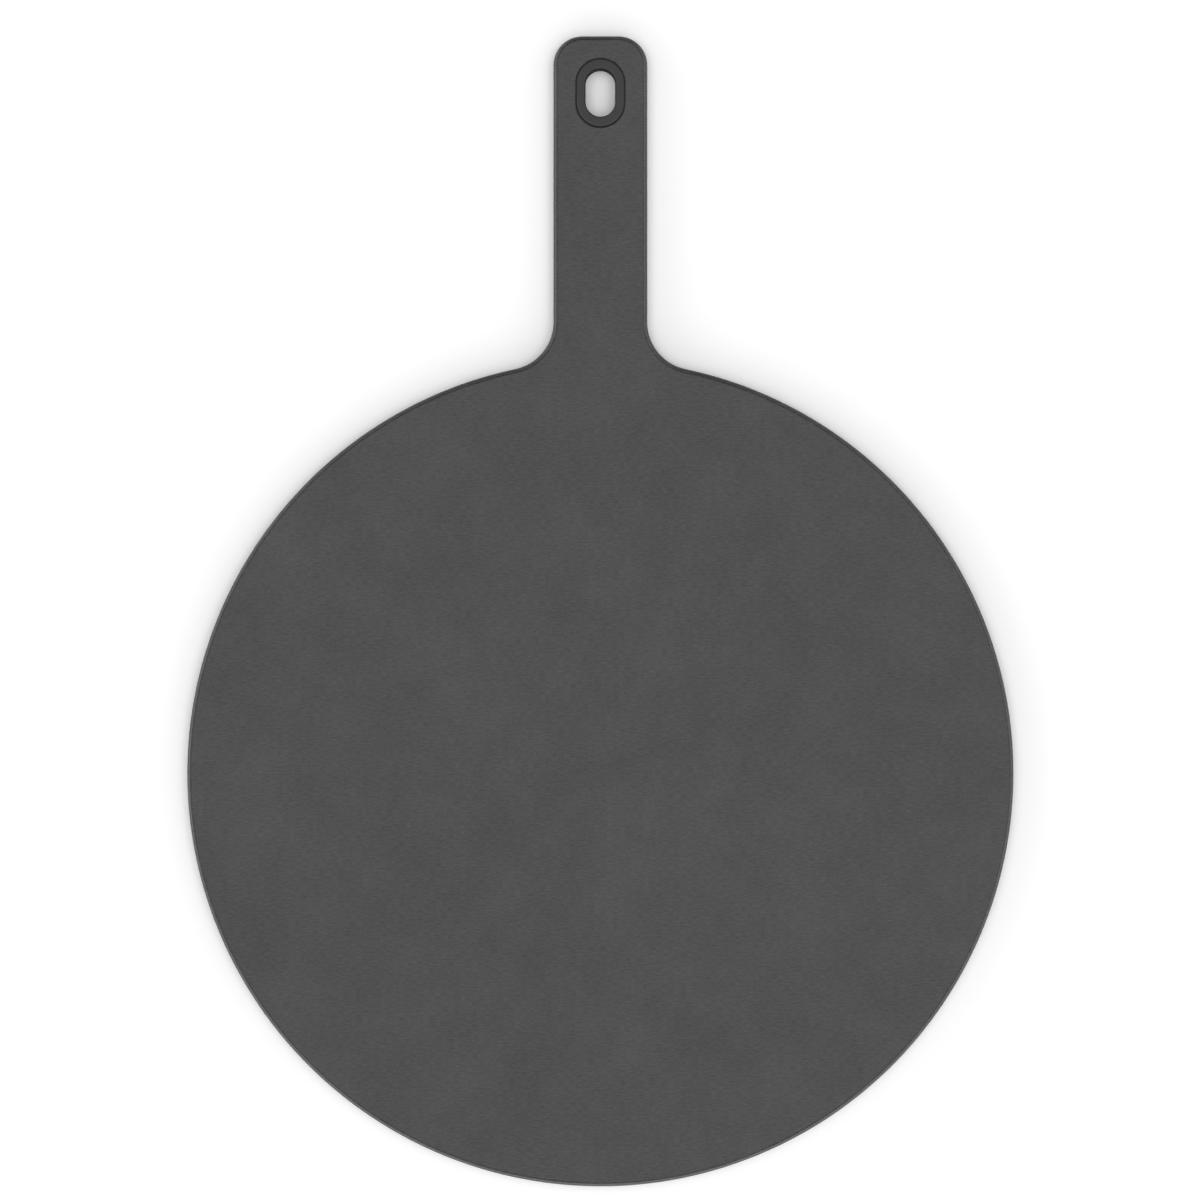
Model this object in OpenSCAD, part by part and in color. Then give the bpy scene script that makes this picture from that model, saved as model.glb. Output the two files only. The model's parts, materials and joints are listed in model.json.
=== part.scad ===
// Pizza serving board: a flat round board with a straight handle, and a soft oval
// grommet that is snapped into the hanging slot near the end of the handle.
// Lengths are in millimetres. The origin is the centre of the round part, on the
// underside. +X is to the right, +Y runs out along the handle and +Z is up.

/* [Board] */
// Diameter of the round serving area
disc_d = 355.6; // [240:0.1:460]
// Thickness of the board
board_t = 6; // [5.5:0.05:12]
// Radius of the rounded edge on both faces, all round the outline
edge_r = 2.4; // [0.5:0.05:2.7]

/* [Handle] */
// Width of the handle
handle_w = 40.4; // [36:0.1:60]
// Length of the handle, from the rim of the round part to its end
handle_l = 139.3; // [80:0.1:240]
// Radius of the two corners at the end of the handle
tip_r = 12.4; // [4:0.1:16]
// Radius of the hollow on each side, where the handle runs into the round part
neck_r = 20.7; // [5:0.1:40]

/* [Hanging slot] */
// Width of the opening that a hook goes through
hole_w = 12.8; // [8:0.1:16]
// Straight length of the opening, between its two round ends
hole_straight = 7.6; // [3:0.1:20]
// Board left between the pocket and the end of the handle
tip_margin = 9.8; // [5:0.1:30]
// Depth of the pocket that is cut into each face round the slot
pocket_depth = 1.6; // [1.2:0.05:1.8]
// Radius of the broken edge round the mouth of each pocket
mouth_r = 0.7; // [0.1:0.05:1]

/* [Grommet] */
// Width of the grommet's face along its two sides, from the opening to its outer edge
ring_w = 4; // [3:0.05:4.6]
// Width of the grommet's face at its two round ends
ring_end_w = 4.45; // [4:0.05:6]
// Radius of the rounded edges of the grommet's faces
ring_edge_r = 0.9; // [0.2:0.05:1.1]
// Depth of the groove round the grommet that takes the lip of the board
groove_depth = 1.9; // [1:0.1:2.4]
// Radius of the corners at the bottom of the groove, and of the lip's edges
groove_r = 0.4; // [0.1:0.05:0.5]
// Clearance between the sides of the grommet and the walls of the slot
seam_gap = 0.15; // [0.05:0.01:0.3]

/* [Hidden] */

// Facets in a full turn of the outline, and in a full turn of a rounded edge
outline_fn = 180;
edge_fn = 48;
// How far a cutter runs past the face that it cuts
overrun = 1;

disc_r = disc_d / 2;
handle_half = handle_w / 2;
handle_end = disc_r + handle_l;
tip_y = handle_end - tip_r;

// Each hollow touches both the disc and the side of the handle, so its centre lies
// neck_r outside the two of them
neck_x = handle_half + neck_r;
neck_y = sqrt(pow(disc_r + neck_r, 2) - pow(neck_x, 2));

// Half widths across the slot, from the opening outward: the opening, the waist of the
// grommet, the lip of the board, the flanges of the grommet, and the pockets round them
hole_r = hole_w / 2;
flange_r = hole_r + ring_w;
waist_r = flange_r - groove_depth;
lip_r = waist_r + seam_gap;
pocket_r = flange_r + seam_gap;
lip_t = board_t - 2 * pocket_depth;

// The slot and the outside of the grommet share one straight length. It is longer than
// that of the opening by as much as the grommet is wider at its ends.
slot_straight = hole_straight + 2 * (ring_end_w - ring_w);
slot_y = handle_end - tip_margin - pocket_r - slot_straight / 2;

// Flat section of a plate that ends in a rim rounded on both faces.
// x runs from 0 out to the rim at reach, and y is the height.
module rim_section(reach, height, rounding) {
    square([reach - rounding, height]);
    translate([0, rounding]) square([reach, height - 2 * rounding]);
    for (y = [rounding, height - rounding])
        translate([reach - rounding, y]) circle(rounding, $fn = edge_fn);
}

// The same section turned round: the rim faces x = 0 and stands at radius.
module inner_rim_section(radius, depth, height, rounding) {
    translate([radius + depth, 0]) mirror([1, 0]) rim_section(depth, height, rounding);
}

// Flat section of the space inside a hollow or a hole whose wall stands at radius and whose
// two edges are rounded.
module space_section(radius, rounding) {
    difference() {
        translate([0, -overrun]) square([radius + rounding, board_t + 2 * overrun]);
        inner_rim_section(radius, rounding + overrun, board_t, rounding);
    }
}

// Carries a flat section round an oval: two half turns, and two straight runs along Y.
module carry_round_oval(straight) {
    for (turn = [0, 180]) rotate(turn) translate([0, straight / 2]) {
        rotate_extrude(angle = 180, $fn = outline_fn) children();
        rotate([90, 0, 0]) linear_extrude(straight) children();
    }
}

// The outline is made in stretches that meet on shared planes, square to the outline, at
// the points where one stretch runs smoothly into the next.

// Plan of the wedge that the two hollows bound: the centre of the disc and the centres of
// the hollows. Its sides cross the outline where the disc ends and the hollows begin.
module neck_plan() {
    polygon([[0, 0], [neck_x, neck_y], [-neck_x, neck_y]]);
}

module round_part() {
    difference() {
        rotate_extrude($fn = outline_fn) rim_section(disc_r, board_t, edge_r);
        translate([0, 0, -overrun]) linear_extrude(board_t + 2 * overrun) neck_plan();
    }
}

module neck() {
    difference() {
        linear_extrude(board_t) neck_plan();
        for (side = [-1, 1])
            translate([side * neck_x, neck_y])
                rotate_extrude($fn = outline_fn) space_section(neck_r, edge_r);
    }
}

module handle_bar() {
    for (side = [0, 1]) mirror([side, 0])
        translate([0, tip_y]) rotate([90, 0, 0])
            linear_extrude(tip_y - neck_y) rim_section(handle_half, board_t, edge_r);
}

module handle_tip() {
    for (side = [0, 1]) mirror([side, 0]) translate([0, tip_y]) {
        translate([handle_half - tip_r, 0])
            rotate_extrude(angle = 90, $fn = outline_fn) rim_section(tip_r, board_t, edge_r);
        rotate([90, 0, 90]) linear_extrude(handle_half - tip_r) rim_section(tip_r, board_t, edge_r);
    }
}

// Section of what is cut out for the grommet, from the middle of the slot outward: the
// pockets in the two faces, less the lip that stays between them.
module slot_section() {
    difference() {
        space_section(pocket_r, mouth_r);
        translate([0, pocket_depth])
            inner_rim_section(lip_r, groove_depth + overrun, lip_t, groove_r);
    }
}

// Section of the grommet before its opening is cut, from its middle outward: flanges flush
// with both faces of the board, and a waist between them.
module grommet_section() {
    difference() {
        rim_section(flange_r, board_t, ring_edge_r);
        translate([0, pocket_depth])
            inner_rim_section(waist_r, groove_depth + overrun, lip_t, groove_r);
    }
}

module board() {
    color("#525252") difference() {
        union() {
            round_part();
            neck();
            handle_bar();
            handle_tip();
        }
        translate([0, slot_y]) carry_round_oval(slot_straight) slot_section();
    }
}

module hanging_grommet() {
    color("#484848") translate([0, slot_y]) difference() {
        carry_round_oval(slot_straight) grommet_section();
        carry_round_oval(hole_straight) space_section(hole_r, ring_edge_r);
    }
}

board();
hanging_grommet();
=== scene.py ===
# %% [markdown]
# # A round serving board with a handle
# This lesson dresses one object for its photograph. The real thing is two pieces: a thin plate
# pressed from many sheets of paper and resin, cut to shape with its edges rounded over, and a soft
# oval ring that is snapped into the slot that the board hangs by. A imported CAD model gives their
# sizes and places. Its meshes are loose triangles, good for weighing and fitting, and both pieces
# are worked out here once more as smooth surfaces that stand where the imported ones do.

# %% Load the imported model
import json
import math

import bmesh
import bpy
import numpy as np
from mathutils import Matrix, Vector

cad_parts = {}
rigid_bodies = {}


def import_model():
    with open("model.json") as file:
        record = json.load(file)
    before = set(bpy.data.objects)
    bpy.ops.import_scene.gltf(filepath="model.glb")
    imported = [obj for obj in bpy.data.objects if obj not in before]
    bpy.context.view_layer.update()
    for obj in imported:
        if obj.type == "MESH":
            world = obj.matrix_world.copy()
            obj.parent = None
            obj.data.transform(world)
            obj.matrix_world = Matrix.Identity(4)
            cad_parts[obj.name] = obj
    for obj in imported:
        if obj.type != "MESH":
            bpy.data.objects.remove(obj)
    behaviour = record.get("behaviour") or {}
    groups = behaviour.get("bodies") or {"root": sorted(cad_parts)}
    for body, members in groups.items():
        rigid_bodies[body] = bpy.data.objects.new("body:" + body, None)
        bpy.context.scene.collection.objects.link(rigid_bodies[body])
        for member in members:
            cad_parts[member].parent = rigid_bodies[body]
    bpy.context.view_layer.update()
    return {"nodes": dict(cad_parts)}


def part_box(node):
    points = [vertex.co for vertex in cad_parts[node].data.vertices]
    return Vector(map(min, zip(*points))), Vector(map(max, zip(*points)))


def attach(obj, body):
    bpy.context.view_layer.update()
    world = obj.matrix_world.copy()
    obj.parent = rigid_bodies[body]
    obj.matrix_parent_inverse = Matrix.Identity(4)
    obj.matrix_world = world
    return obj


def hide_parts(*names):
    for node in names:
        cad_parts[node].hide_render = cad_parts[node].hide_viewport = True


for leftover in list(bpy.data.objects):
    bpy.data.objects.remove(leftover)
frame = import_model()

# %% [markdown]
# ## Sizes
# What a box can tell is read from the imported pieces, so the surfaces can't drift away from them:
# the thickness, the size of the disc, the reach of the handle, and the outline of the ring. A box
# doesn't tell a radius, so those are written down here, in millimetres, as on a workshop drawing.

# %% Sizes of the board
MM = 0.001
CM = 0.01
board_low, board_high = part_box("board")
THICKNESS = board_high.z - board_low.z
DISC_R = -board_low.y
HANDLE_END = board_high.y
HANDLE_HALF = 20.2 * MM
TIP_R = 12.4 * MM
NECK_R = 20.7 * MM
EDGE_R = 2.4 * MM
print(f"board {2 * DISC_R:.4f} m across, {DISC_R + HANDLE_END:.4f} m long, {THICKNESS:.4f} m thick")

# %% Sizes of the slot and of the ring in it
ring_low, ring_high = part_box("hanging_grommet")
SLOT_Y = (ring_low.y + ring_high.y) / 2
FLANGE_R = ring_high.x
SLOT_STRAIGHT = ring_high.y - ring_low.y - 2 * FLANGE_R
RING_W = 4 * MM
RING_END_W = 4.45 * MM
RING_EDGE_R = 0.9 * MM
GROOVE_DEPTH = 1.9 * MM
GROOVE_R = 0.4 * MM
SEAM = 0.15 * MM
MOUTH_R = 0.7 * MM
POCKET_DEPTH = 1.6 * MM
HOLE_R = FLANGE_R - RING_W
POCKET_R = FLANGE_R + SEAM
WAIST_R = FLANGE_R - GROOVE_DEPTH
LIP_R = WAIST_R + SEAM
HOLE_STRAIGHT = SLOT_STRAIGHT - 2 * (RING_END_W - RING_W)
print(f"opening {2 * HOLE_R:.4f} m wide and {2 * HOLE_R + HOLE_STRAIGHT:.4f} m long")

# %% [markdown]
# ## The outline
# The board is sawn along one smooth line: most of a circle, a hollow on each side where the
# handle runs into it, two straight sides, two round corners and a straight end. Every stretch
# meets the next without a kink. A drawn curve could be traced by hand, but each stretch is an arc
# or a line, so a formula gives it exactly, and it also gives the direction that points straight
# out of the board there. That direction is what the rounded edge is built along.


# %% Arcs and straight stretches
def arc(centre, radius, start, end, steps, hollow=False):
    """Points along an arc, and the direction out of the board at each.

    A point is the centre plus radius times (cos a, sin a), with a from start to end in degrees.
    Out is along that ray on a bulge and against it in a hollow.
    """
    angle = np.radians(np.linspace(start, end, steps + 1))
    ray = np.column_stack((np.cos(angle), np.sin(angle)))
    return np.array(centre) + radius * ray, -ray if hollow else ray


def straight(start, end, out, steps):
    """Points along a line, start + s (end - start) with s from 0 to 1, and the one way out."""
    share = np.linspace(0, 1, steps + 1)[:, None]
    points = np.array(start) * (1 - share) + np.array(end) * share
    return points, np.tile(np.array(out, float), (steps + 1, 1))


def with_mirror_image(right):
    """The right half of a closed loop, then its mirror image run backwards.

    Both ends of the half lie on x = 0, and the mirror image leaves them out.
    """
    left = right[-2:0:-1] * np.array([-1.0, 1.0])
    return np.vstack((right, left))


# %% The right half of the outline, from the bottom of the disc to the middle of the handle's end
neck_x = HANDLE_HALF + NECK_R
neck_y = math.sqrt((DISC_R + NECK_R) ** 2 - neck_x ** 2)
lean = math.degrees(math.atan2(neck_y, neck_x))
tip_x = HANDLE_HALF - TIP_R
tip_y = HANDLE_END - TIP_R
stretches = [
    arc((0, 0), DISC_R, -90, lean, steps=160),
    arc((neck_x, neck_y), NECK_R, 180 + lean, 180, steps=20, hollow=True),
    straight((HANDLE_HALF, neck_y), (HANDLE_HALF, tip_y), out=(1, 0), steps=46),
    arc((tip_x, tip_y), TIP_R, 0, 90, steps=24),
    straight((tip_x, HANDLE_END), (0, HANDLE_END), out=(0, 1), steps=6),
]
rim_right = np.vstack([points[:-1] for points, out in stretches] + [stretches[-1][0][-1:]])
out_right = np.vstack([out[:-1] for points, out in stretches] + [stretches[-1][1][-1:]])
side_start = len(stretches[0][0]) + len(stretches[1][0]) - 2
print(len(rim_right), "points on the right half of the outline")

# %% [markdown]
# ## Where the faces end inside
# A flat face with a slot in it is awkward to cover with rows and columns. The way out is to let
# each point of the outline look inward at a partner, and to rule straight lines between the two.
# The partners of the disc walk up the middle line of the board, and where they meet the foot of
# the slot they part and walk round it. Left and right meet on the middle line, and are welded.


# %% Partners of the outline's points
def round_the_slot(share, radius):
    """Half of an oval, from its lowest point up its right side to its highest.

    Gives for each share of its length the centre that the oval turns about there, and the ray out
    of that centre. The oval of any radius is then centre + radius * ray: a quarter turn, a
    straight stretch beside the slot's middle, and another quarter turn.
    """
    quarter = radius * math.pi / 2
    gone = share * (2 * quarter + SLOT_STRAIGHT)
    low = SLOT_Y - SLOT_STRAIGHT / 2
    along = np.clip(gone - quarter, 0, SLOT_STRAIGHT)
    angle = (gone - along - quarter) / radius
    centre = np.column_stack((np.zeros_like(gone), low + along))
    ray = np.column_stack((np.cos(angle), np.sin(angle)))
    ray[[0, -1]] = (0, -1), (0, 1)
    return centre, ray


# Points of the outline below CLIMB_FROM look at the centre of the disc. Above it their partners
# walk up the middle line, slowly at first. Points above the height FORK_BELOW under the slot's
# foot look at the slot.
CLIMB_FROM = -0.2 * DISC_R
CLIMB_POWER = 1.5
FORK_BELOW = 9 * MM
MOUTH = POCKET_R + MOUTH_R
slot_foot = SLOT_Y - SLOT_STRAIGHT / 2 - MOUTH
walked = np.concatenate(([0], np.cumsum(np.linalg.norm(np.diff(rim_right, axis=0), axis=1))))
spine_start = walked[np.argmin(abs(rim_right[:side_start, 1] - CLIMB_FROM))]
fork = side_start + int(np.argmin(abs(rim_right[side_start:, 1] - slot_foot + FORK_BELOW)))
climb = np.clip((walked[:fork] - spine_start) / (walked[fork] - spine_start), 0, 1)
spine = np.column_stack((np.zeros(fork), slot_foot * climb ** CLIMB_POWER))
slot_share = (walked[fork:] - walked[fork]) / (walked[-1] - walked[fork])
slot_centre, slot_ray = round_the_slot(slot_share, MOUTH)
partner_right = np.vstack((spine, slot_centre + MOUTH * slot_ray))
print(fork, "points look at the middle line and", len(slot_share), "go round the slot")

# %% [markdown]
# ## The section of the rim
# A router bit runs round both faces and leaves a quarter circle on each, with a narrow flat land
# between them. A bevel could do that, but its corners would be guesses. Here the section is a
# formula in one angle, and it is carried round the outline as it is.


# %% Sections
def turn(centre, radius, start, end, steps):
    """Arc of a section in the plane of reach and height: centre + radius * (cos a, sin a)."""
    angle = np.radians(np.linspace(start, end, steps + 1))
    return np.column_stack((centre[0] + radius * np.cos(angle), centre[1] + radius * np.sin(angle)))


def both_faces(upper):
    """A section's upper half, then the same upside down, so that it ends on the other face."""
    lower = upper[::-1] * np.array([1.0, -1.0]) + np.array([0.0, THICKNESS])
    return np.vstack((upper, lower))


def carry(centre, ray, section):
    """Carries a section along a path: centre + reach * ray in plan, and the section's height."""
    plan = centre[:, None, :] + ray[:, None, :] * section[None, :, 0:1]
    height = np.broadcast_to(section[:, 1], plan.shape[:2])
    return np.dstack((plan, height))


rim_section = both_faces(turn((0, THICKNESS - EDGE_R), EDGE_R, 90, 0, steps=14))
land = (THICKNESS - 2 * EDGE_R) / MM
print(f"rim section of {len(rim_section)} points, with a flat land of {land:.2f} mm")


# %% The skin: upper face, rim and underside in one sheet
FACE_STEPS = 12
FIRST_STEP = 0.06 * MM


def face(inset, partner, height):
    """A flat face ruled from each point of the inset line to its partner, at one height.

    A point is inset + s (partner - inset), with s from 0 to 1. One more column of points stands
    FIRST_STEP inside the inset line, so that the rounding's shading stops at its edge.
    """
    first = FIRST_STEP / np.linalg.norm(partner - inset, axis=1)
    evenly = np.tile(np.linspace(0, 1, FACE_STEPS + 1), (len(inset), 1))
    share = np.column_stack((evenly[:, 0], first, evenly[:, 1:]))
    plan = inset[:, None, :] + (partner - inset)[:, None, :] * share[:, :, None]
    return np.dstack((plan, np.full(plan.shape[:2], height)))


inset_right = rim_right - EDGE_R * out_right
inset = with_mirror_image(inset_right)
out = with_mirror_image(out_right)
partner = with_mirror_image(partner_right)
upper_face = face(inset, partner, THICKNESS)[:, :0:-1]
underside = face(inset, partner, 0.0)[:, 1:]
skin = np.concatenate((upper_face, carry(inset, out, rim_section), underside), axis=1)
print("skin of", skin.shape[0], "by", skin.shape[1], "points")

# %% [markdown]
# ## The slot
# The slot isn't a plain hole. A shallow pocket is sunk into each face, and between the two a
# thinner lip of the board is left standing for the ring to grip. One section holds the softened
# mouth, the pocket's wall and floor, and the rounded lip, and it goes once round the oval.

# %% The wall of the slot
LIP_TOP = THICKNESS - POCKET_DEPTH
mouth = turn((POCKET_R + MOUTH_R, THICKNESS - MOUTH_R), MOUTH_R, 90, 180, steps=6)
pocket_corner = np.array([[POCKET_R, LIP_TOP]])
lip_edge = turn((LIP_R + GROOVE_R, LIP_TOP - GROOVE_R), GROOVE_R, 90, 180, steps=6)
slot_section = both_faces(np.vstack((mouth, pocket_corner, lip_edge)))
full_centre = np.vstack((slot_centre, slot_centre[-2::-1]))
full_ray = np.vstack((slot_ray, slot_ray[-2::-1] * np.array([-1.0, 1.0])))
slot_wall = carry(full_centre, full_ray, slot_section)
print("slot wall of", slot_wall.shape[0], "by", slot_wall.shape[1], "points")


# %% [markdown]
# ## From numbers to a mesh
# Each sheet of points is a grid, and a grid's faces need no thought: a point, its neighbour in
# the next column, and the same two in the next row. Where sheets meet, their points fall on the
# same places and are welded into one. A weld that missed would leave an edge with one face, so
# the count of such edges and the volume are printed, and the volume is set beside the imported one.


# %% Faces of a grid, and the finished piece
WELD = 0.002 * MM
SHARP = math.radians(40)


def grid_faces(points, first, rows_close, columns_close):
    """Four-sided faces of a grid of points that are numbered from first, row by row."""
    number = np.arange(points.shape[0] * points.shape[1]).reshape(points.shape[:2]) + first
    if rows_close:
        number = np.vstack((number, number[:1]))
    if columns_close:
        number = np.hstack((number, number[:, :1]))
    corners = (number[:-1, :-1], number[:-1, 1:], number[1:, 1:], number[1:, :-1])
    return np.stack(corners, axis=-1).reshape(-1, 4)


def volume_of(mesh):
    """Volume inside a closed mesh, in cubic centimetres."""
    work = bmesh.new()
    work.from_mesh(mesh)
    volume = work.calc_volume(signed=True)
    work.free()
    return volume / CM ** 3


def piece_from(name, sheets, stands_for):
    """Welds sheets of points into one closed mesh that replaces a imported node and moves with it."""
    faces, first = [], 0
    for points, rows_close, columns_close in sheets:
        faces.append(grid_faces(points, first, rows_close, columns_close))
        first += points.shape[0] * points.shape[1]
    places = np.vstack([sheet[0].reshape(-1, 3) for sheet in sheets])
    mesh = bpy.data.meshes.new(name)
    mesh.from_pydata(places.tolist(), [], np.vstack(faces).tolist())
    work = bmesh.new()
    work.from_mesh(mesh)
    bmesh.ops.remove_doubles(work, verts=work.verts, dist=WELD)
    bmesh.ops.recalc_face_normals(work, faces=work.faces)
    open_edges = sum(len(edge.link_faces) != 2 for edge in work.edges)
    work.to_mesh(mesh)
    work.free()
    mesh.shade_smooth()
    mesh.set_sharp_from_angle(angle=SHARP)
    piece = bpy.data.objects.new(name, mesh)
    bpy.context.scene.collection.objects.link(piece)
    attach(piece, "root")
    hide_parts(stands_for)
    packed = volume_of(frame["nodes"][stands_for].data)
    print(f"{name}: {len(mesh.polygons)} faces, {open_edges} open edges, "
          f"{volume_of(mesh):.2f} cm3 beside {packed:.2f} packed")
    return piece


# %% The board
board = piece_from("pressed_board", [(skin, True, False), (slot_wall, False, False)],
                   "board")

# %% [markdown]
# ## The ring
# The ring is moulded from soft silicone. It has a flange at each face, flush with the board, and a
# narrower waist between them that sits on the lip. Its section is closed, so carried round the
# oval it makes a closed tube with no ends. It is a little wider at its two ends than along its
# sides, so the points near the opening are carried round a shorter oval than the outer ones. The
# mould that such a ring comes out of opens at half its height, and leaves a line a few hundredths
# of a millimetre proud round the opening.

# %% The section and the path of the ring
PARTING_W = 0.3 * MM
PARTING_H = 0.05 * MM
HALF_RING_STEPS = 60
middle = THICKNESS / 2
crest = [HOLE_R - PARTING_H, middle + PARTING_W / 6]
parting_line = np.array([crest, [HOLE_R, middle + PARTING_W / 2]])
edge_height = THICKNESS - RING_EDGE_R
hole_edge = turn((HOLE_R + RING_EDGE_R, edge_height), RING_EDGE_R, 180, 90, steps=10)
flange_edge = turn((FLANGE_R - RING_EDGE_R, edge_height), RING_EDGE_R, 90, 0, steps=10)
flange_foot = np.array([[FLANGE_R, LIP_TOP]])
groove = turn((WAIST_R + GROOVE_R, LIP_TOP - GROOVE_R), GROOVE_R, 90, 180, steps=6)
ring_section = both_faces(np.vstack((parting_line, hole_edge, flange_edge, flange_foot, groove)))
half_centre, half_ray = round_the_slot(np.linspace(0, 1, HALF_RING_STEPS + 1), FLANGE_R)
ring_centre = np.vstack((half_centre, half_centre[-2:0:-1]))
ring_ray = np.vstack((half_ray, half_ray[-2:0:-1] * np.array([-1.0, 1.0])))
ring_wall = carry(ring_centre, ring_ray, ring_section)
inner = ring_section[:, 0] < HOLE_R + RING_W / 2
shorter = (ring_centre[:, 1] - SLOT_Y) * (HOLE_STRAIGHT / SLOT_STRAIGHT - 1)
ring_wall[:, inner, 1] += shorter[:, None]
ring = piece_from("hanging_ring", [(ring_wall, True, True)], "hanging_grommet")


# %% [markdown]
# ## Finishes
# Pressed fibre board looks plain and isn't. Its paper lies in one direction, which leaves faint
# streaks a few millimetres long across the handle's direction. The resin takes up a little
# unevenly, which leaves soft clouds from a few centimetres down to a few millimetres wide, and
# the press leaves a fine tooth that keeps the faces matt. The rounded edge is cut and rubbed
# smoother, so it shines more and is darker in itself. It goes through the sheets, and they show
# as thin bands that follow the height: a few paler ones a third of a millimetre under each face,
# and a darker core. A thin dark line just under each face, where the rounding starts, is painted
# shade. The ring is plainer: matt, with painted shade that darkens the wall of its opening, which
# is also a little rougher. All of that is noise at the right scale or a plain measure of place,
# read from the object's own coordinates in metres, so that it sits still on the piece from every
# side.


# %% Small helpers for node trees
def add_node(tree, kind, links=None, **settings):
    """Adds a node, sets its settings, and feeds its inputs from sockets or plain values."""
    made = tree.nodes.new(kind)
    for name, value in settings.items():
        setattr(made, name, value)
    for name, value in (links or {}).items():
        if isinstance(value, bpy.types.NodeSocket):
            tree.links.new(value, made.inputs[name])
        else:
            made.inputs[name].default_value = value
    return made


def maths(tree, operation, first, second=0.0, third=0.0):
    """One arithmetic step on sockets or numbers."""
    wanted = {0: first, 1: second, 2: third}
    return add_node(tree, "ShaderNodeMath", wanted, operation=operation).outputs[0]


def total(tree, start, changes):
    """A number with all the changes added to it."""
    for change in changes:
        start = maths(tree, "ADD", start, change)
    return start


def between(tree, value, low, high, new_low, new_high, smooth=False):
    """Turns low to high into new_low to new_high, held at both ends."""
    kind = "SMOOTHSTEP" if smooth else "LINEAR"
    wanted = {"Value": value, "From Min": low, "From Max": high,
              "To Min": new_low, "To Max": new_high}
    return add_node(tree, "ShaderNodeMapRange", wanted, interpolation_type=kind).outputs[0]


def near(tree, value, centre, flat, reach, amount):
    """The amount where value lies within flat of centre, and less and less out to reach from it."""
    away = maths(tree, "ABSOLUTE", maths(tree, "SUBTRACT", value, centre))
    return between(tree, away, flat, reach, amount, 0, smooth=True)


# %% Helpers for finishes
# Nearly all of a noise lies between these two.
NOISE_LOW = 0.3
NOISE_HIGH = 0.7


def empty_material(name):
    """A material with only a Principled shader in it, and its tree, shader and coordinates."""
    material = bpy.data.materials.new(name)
    material.use_nodes = True
    tree = material.node_tree
    place = add_node(tree, "ShaderNodeTexCoord").outputs["Object"]
    return material, tree, tree.nodes["Principled BSDF"], place


def noise(tree, place, size, stretch=(1, 1, 1), detail=2.0):
    """Noise whose patches are about size metres wide, drawn out along each axis by stretch."""
    scale = tuple(1 / (size * along) for along in stretch)
    drawn = add_node(tree, "ShaderNodeMapping", {"Vector": place, "Scale": scale})
    wanted = {"Vector": drawn.outputs[0], "Scale": 1.0, "Detail": detail}
    return add_node(tree, "ShaderNodeTexNoise", wanted).outputs[0]


def swing(tree, pattern, amount):
    """A change from -amount to amount that follows a noise."""
    return between(tree, pattern, NOISE_LOW, NOISE_HIGH, -amount, amount)


def dress(tree, shader, grey, tone, rough, relief, strength, distance):
    """Feeds a shader its base colour, a grey times tone, its roughness, and its fine relief."""
    colour = add_node(tree, "ShaderNodeVectorMath", {0: grey, "Scale": tone}, operation="SCALE")
    wanted = {"Height": relief, "Strength": strength, "Distance": distance}
    bump = add_node(tree, "ShaderNodeBump", wanted)
    tree.links.new(colour.outputs[0], shader.inputs["Base Color"])
    tree.links.new(rough, shader.inputs["Roughness"])
    tree.links.new(bump.outputs[0], shader.inputs["Normal"])


# %% Pressed fibre board
EDGE_GREY = 0.0342
EDGE_ROUGH = 0.28
FACE_PALER = 0.64
FACE_ROUGHER = 0.32
SHEET_T = 0.34 * MM


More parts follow.
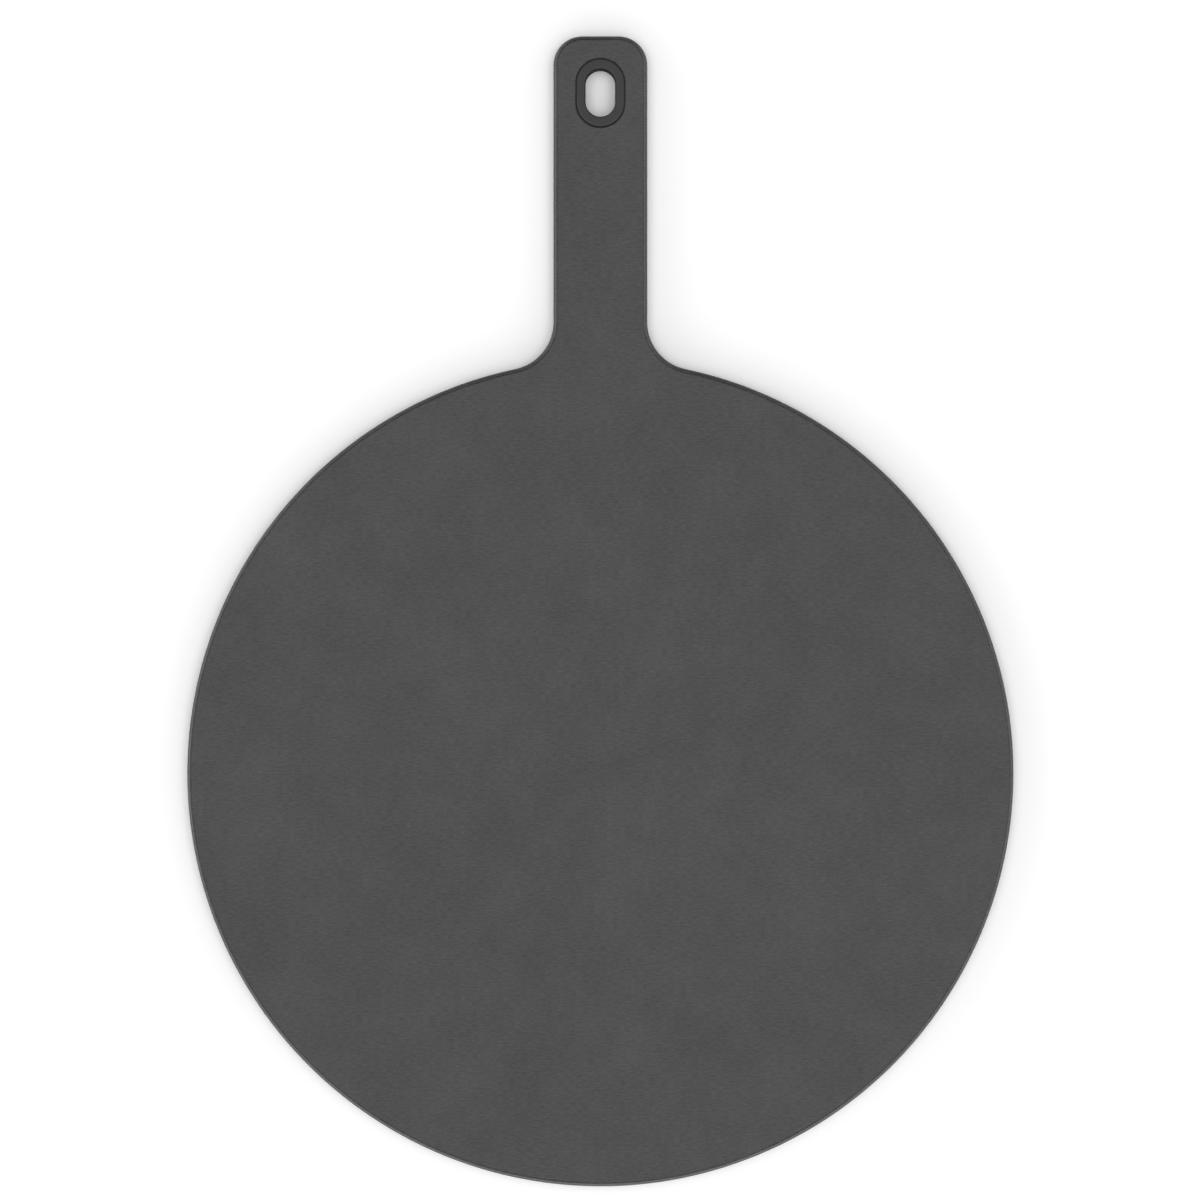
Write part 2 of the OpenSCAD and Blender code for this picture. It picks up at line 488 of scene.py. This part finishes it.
def fibre_board_finish():
    """Dark grey pressed fibre: clouds, streaks and a fine tooth, with bands and a line of painted
    shade on the cut edge.

    Depth is how far a point lies under the nearer face: the height, or the thickness less the
    height, whichever is less. It tells the pressed faces from the rounded edge, gives the tone of
    each sheet that the edge cuts through, and places a thin dark line of painted shade just under
    each face, where the rounding starts.
    """
    material, tree, shader, place = empty_material("fibre_board")
    clouds = noise(tree, place, 60 * MM, detail=6.0)
    patches = noise(tree, place, 16 * MM)
    mottle = noise(tree, place, 5 * MM, detail=3.0)
    streaks = noise(tree, place, 0.75 * MM, stretch=(3.5, 1, 1))
    grain = noise(tree, place, 0.6 * MM)
    height = add_node(tree, "ShaderNodeSeparateXYZ", {0: place}).outputs["Z"]
    depth = maths(tree, "MINIMUM", height, maths(tree, "SUBTRACT", THICKNESS, height))
    pressed = between(tree, depth, 0.005 * MM, 0.04 * MM, 1, 0, smooth=True)
    cut = between(tree, depth, 0.03 * MM, 0.25 * MM, 0, 1, smooth=True)
    wander = maths(tree, "MULTIPLY_ADD", streaks, 0.12 * MM, height)
    wanted = {"W": wander, "Scale": 1 / SHEET_T, "Detail": 1.0}
    sheets = add_node(tree, "ShaderNodeTexNoise", wanted, noise_dimensions="1D").outputs[0]
    bands = maths(tree, "MULTIPLY", swing(tree, sheets, 0.14), cut)
    # A thin dark line just under each face, where the rounding starts, is painted shade.
    painted_shade_line = near(tree, depth, centre=0.08 * MM, flat=0.02 * MM, reach=0.09 * MM, amount=-0.22)
    pale_deep = near(tree, depth, centre=0.33 * MM, flat=0.04 * MM, reach=0.2 * MM, amount=0.9)
    core = between(tree, depth, 0.36 * MM, 0.62 * MM, 0, -0.56, smooth=True)
    changes = [maths(tree, "MULTIPLY", pressed, FACE_PALER), bands, painted_shade_line, pale_deep, core]
    for pattern, amount in ((clouds, 0.09), (patches, 0.12), (mottle, 0.055),
                            (streaks, 0.33), (grain, 0.3)):
        changes.append(swing(tree, pattern, amount))
    tone = total(tree, 1.0, changes)
    rough = total(tree, EDGE_ROUGH, [swing(tree, clouds, -0.01), swing(tree, grain, 0.02),
                                     maths(tree, "MULTIPLY", cut, 0.04),
                                     maths(tree, "MULTIPLY", pressed, FACE_ROUGHER)])
    tooth = maths(tree, "MULTIPLY_ADD", streaks, 0.6, grain)
    dress(tree, shader, (EDGE_GREY,) * 3, tone, rough, tooth, strength=0.3, distance=0.016 * MM)
    shader.inputs["IOR"].default_value = 1.5
    return material


board.data.materials.append(fibre_board_finish())
print("fibre board made of", len(board.active_material.node_tree.nodes), "nodes")


# %% Silicone
RING_GREY = (0.048, 0.048, 0.049)
RING_ROUGH = 0.75
# How dark the painted shade on the wall of the opening is, as a share of the ring's grey.
INSIDE_PAINTED_SHADE = 0.25
INSIDE_ROUGHER = 0.2


def silicone_finish():
    """Smooth moulded silicone: dark grey, a little cloudy, with the mould's fine matt.

    The wall of the opening carries painted shade, darker than the faces, and is a little rougher.
    How far a point lies inside is told by its reach, the distance from the line between the centres
    of the opening's round ends.
    """
    material, tree, shader, place = empty_material("silicone")
    clouds = noise(tree, place, 6 * MM, detail=3.0)
    matt = noise(tree, place, 0.25 * MM)
    parts = add_node(tree, "ShaderNodeSeparateXYZ", {0: place}).outputs
    across, along = parts["X"], parts["Y"]
    beyond = maths(tree, "ABSOLUTE", maths(tree, "SUBTRACT", along, SLOT_Y))
    beyond = maths(tree, "MAXIMUM", maths(tree, "SUBTRACT", beyond, HOLE_STRAIGHT / 2), 0.0)
    square = maths(tree, "MULTIPLY_ADD", across, across, maths(tree, "MULTIPLY", beyond, beyond))
    reach = maths(tree, "SQRT", square)
    inside = between(tree, reach, HOLE_R + 0.6 * MM, HOLE_R + 0.15 * MM, 0, 1, smooth=True)
    tone = maths(tree, "ADD", 1.0, swing(tree, clouds, 0.04))
    # The wall of the opening is darkened here by painted shade.
    tone = maths(tree, "MULTIPLY", tone, between(tree, inside, 0, 1, 1, INSIDE_PAINTED_SHADE))
    rough = total(tree, RING_ROUGH, [swing(tree, clouds, 0.03), swing(tree, matt, 0.02),
                                     maths(tree, "MULTIPLY", inside, INSIDE_ROUGHER)])
    dress(tree, shader, RING_GREY, tone, rough, matt, strength=0.25, distance=0.01 * MM)
    shader.inputs["IOR"].default_value = 1.43
    shader.inputs["Specular IOR Level"].default_value = 0.35
    return material


ring.data.materials.append(silicone_finish())
print("silicone made of", len(ring.active_material.node_tree.nodes), "nodes")

# %% [markdown]
# ## Floor and light
# The board lies on a white floor, with a soft shadow close round it. The floor's own colour is
# an ordinary white. Only the rays that look straight at it or mirror it find a brighter one, so
# the open floor is pure white in the picture and throws no more light on the board.

# %% The floor
FLOOR_HALF = 1.5
FLOOR_DROP = 0.05 * MM
FLOOR_WHITE = 0.8
FLOOR_SEEN = 1.15
signs = ((-1, -1), (1, -1), (1, 1), (-1, 1))
corners = [(x * FLOOR_HALF, y * FLOOR_HALF, -FLOOR_DROP) for x, y in signs]
floor_mesh = bpy.data.meshes.new("floor")
floor_mesh.from_pydata(corners, [], [(0, 1, 2, 3)])
floor = bpy.data.objects.new("floor", floor_mesh)
bpy.context.scene.collection.objects.link(floor)


def floor_finish():
    """Matt white, and nearly half as bright again to the rays that look at it or mirror it."""
    material, tree, shader = empty_material("floor_white")[:3]
    rays = add_node(tree, "ShaderNodeLightPath")
    seen = maths(tree, "MAXIMUM", rays.outputs["Is Camera Ray"], rays.outputs["Is Glossy Ray"])
    seen = maths(tree, "MAXIMUM", seen, rays.outputs["Is Transmission Ray"])
    white = between(tree, seen, 0, 1, FLOOR_WHITE, FLOOR_SEEN)
    tree.links.new(white, shader.inputs["Base Color"])
    shader.inputs["Roughness"].default_value = 0.9
    shader.inputs["Specular IOR Level"].default_value = 0.0
    return material


floor_mesh.materials.append(floor_finish())
print(f"floor {2 * FLOOR_HALF} m wide, {FLOOR_DROP / MM:.2f} mm below the board")


# %% [markdown]
# ## The light
# The light of the photograph is that of a tent of white cloth with a soft lamp over it. A smooth
# board is a poor mirror, but its rounded edge looks in every direction at once, so the bright and
# dark lines along the rim are a map of the tent: bright overhead, dimmer round the lamp,
# brightest low down in front and on the left, and dark behind the handle. A few area lamps could
# stand in for it, but their corners would show in the rim as gaps. Here the tent is the world
# itself. Each of its four walls has a brightness for every tilt away from straight up, where 1 is
# white, and a direction between two walls takes a share of each.

# %% How bright each wall of the tent is
TILTS = (6.5, 10.5, 17, 23.5, 31, 40, 50, 60, 70, 82.5)
WALLS = {
    "front": (2.10, 1.07, 0.24, 0.16, 0.61, 0.93, 0.60, 0.60, 1.75, 3.78),
    "right": (2.10, 1.52, 1.21, 1.46, 1.78, 1.40, 0.66, 0.58, 1.49, 2.54),
    "back": (2.10, 0.73, 0.01, 0.13, 0.68, 0.55, 0.13, 0.00, 0.02, 0.28),
    "left": (2.10, 1.57, 1.21, 1.29, 1.67, 1.25, 0.16, 0.00, 1.40, 4.58),
}
BRIGHTEST = 4.6
for wall, levels in WALLS.items():
    print(f"{wall}: {levels[0]:.2f} overhead, {min(levels):.2f} at its darkest, "
          f"{levels[-1]:.2f} at the floor")


# %% The tent as a world
TINY = 1e-6


def wall_light(tree, tilt, toward, spread, levels):
    """What one wall adds: its brightness at this tilt, times the share of it that is in view.

    The share is the square of the cosine of the angle between the direction and the wall, so the
    shares of four walls at right angles add up to one.
    """
    ramp = add_node(tree, "ShaderNodeValToRGB", {"Fac": tilt})
    stops = ramp.color_ramp.elements
    for number, degrees in enumerate(TILTS):
        stop = stops[number] if number < 2 else stops.new(degrees / 90)
        stop.position = degrees / 90
    for stop, level in zip(stops, levels):
        stop.color = (level / BRIGHTEST,) * 3 + (1,)
    facing = maths(tree, "MAXIMUM", toward, 0.0)
    share = maths(tree, "DIVIDE", maths(tree, "MULTIPLY", facing, facing), spread)
    return maths(tree, "MULTIPLY", share, ramp.outputs["Color"])


world = bpy.data.worlds.new("tent")
bpy.context.scene.world = world
world.use_nodes = True
tree = world.node_tree
direction = add_node(tree, "ShaderNodeTexCoord").outputs["Generated"]
east, north, up = add_node(tree, "ShaderNodeSeparateXYZ", {0: direction}).outputs
tilt = maths(tree, "DIVIDE", maths(tree, "ARCCOSINE", up), math.pi / 2)
spread = maths(tree, "MULTIPLY_ADD", east, east, maths(tree, "MULTIPLY_ADD", north, north, TINY))
toward = {"front": maths(tree, "MULTIPLY", north, -1.0), "right": east,
          "back": north, "left": maths(tree, "MULTIPLY", east, -1.0)}
light = 0.0
for wall, levels in WALLS.items():
    light = maths(tree, "ADD", light, wall_light(tree, tilt, toward[wall], spread, levels))
light = maths(tree, "MULTIPLY", light, BRIGHTEST)
seen = add_node(tree, "ShaderNodeLightPath").outputs["Is Camera Ray"]
unseen = maths(tree, "SUBTRACT", 1.0, seen)
around = tree.nodes["Background"]
around.inputs["Color"].default_value = (1, 1, 1, 1)
tree.links.new(maths(tree, "MULTIPLY_ADD", light, unseen, seen), around.inputs["Strength"])
print("tent made of", len(tree.nodes), "nodes")

# %% [markdown]
# ## Camera
# The photograph looks straight down, over a point between the middle of the disc and the handle.
# How far up the camera stood can be read from the slot: the end wall of its opening shows as a
# thin dark crescent, which a nearer camera would make thicker. A portrait lens fits it.

# %% Camera
CAMERA_Y = 74.54 * MM
CAMERA_X = -0.17 * MM
CAMERA_Z = 1223.0 * MM
camera_data = bpy.data.cameras.new("camera")
camera_data.lens = 85
camera_data.sensor_width = 36
camera_data.clip_start = 0.01
camera = bpy.data.objects.new("camera", camera_data)
camera.location = (CAMERA_X, CAMERA_Y, CAMERA_Z)
bpy.context.scene.collection.objects.link(camera)
bpy.context.scene.camera = camera
bpy.context.scene.view_settings.view_transform = "Standard"
print(f"camera {CAMERA_Z:.3f} m up, over y = {CAMERA_Y:.4f} m")
